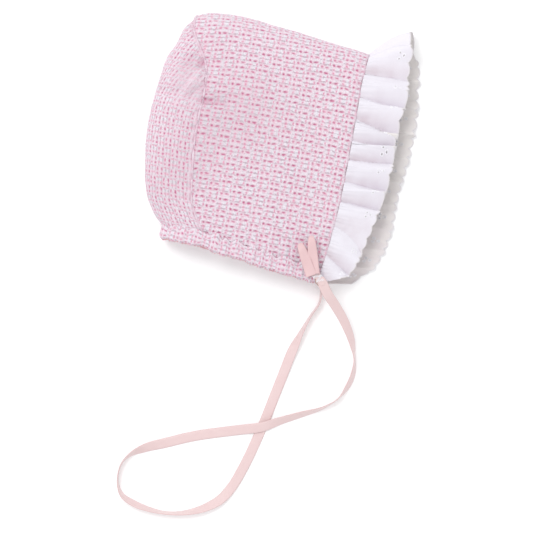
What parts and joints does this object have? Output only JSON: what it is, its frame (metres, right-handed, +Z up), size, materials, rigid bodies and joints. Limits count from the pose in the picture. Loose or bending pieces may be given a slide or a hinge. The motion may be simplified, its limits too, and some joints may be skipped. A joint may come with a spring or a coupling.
{
  "type": "baby's knit bonnet with an eyelet ruffle and a ribbon chin strap",
  "caption": "Soft baby bonnet lying flat on its side: knitted crown and back panels, ruched neck casing, gathered eyelet ruffle, ribbon bow and chin strap.",
  "frame": {"origin": "on the surface that the bonnet lies on, under the middle of the bonnet's own box without the chin strap", "axes": "+Z up from the surface, +Y to the crown fold, +X out of the face opening"},
  "size_m": [0.1828, 0.3696, 0.0366],
  "materials": {
    "pink_knit": "thick patterned knit in white and pink yarns, matt",
    "casing_knit": "the same knit ruched on elastic, with a serged edge, matt",
    "white_cotton": "white cotton eyelet cloth with embroidered holes and edge",
    "salmon_satin": "pale salmon satin ribbon, softly shiny"
  },
  "bodies": {
    "root": {"side_panel": "pink_knit", "back_panel": "pink_knit", "neck_casing": "casing_knit", "eyelet_ruffle": "white_cotton", "bow_loop_back": "salmon_satin", "bow_loop_front": "salmon_satin", "bow_tack": "salmon_satin", "chin_strap": "salmon_satin"}
  },
  "joints": []
}
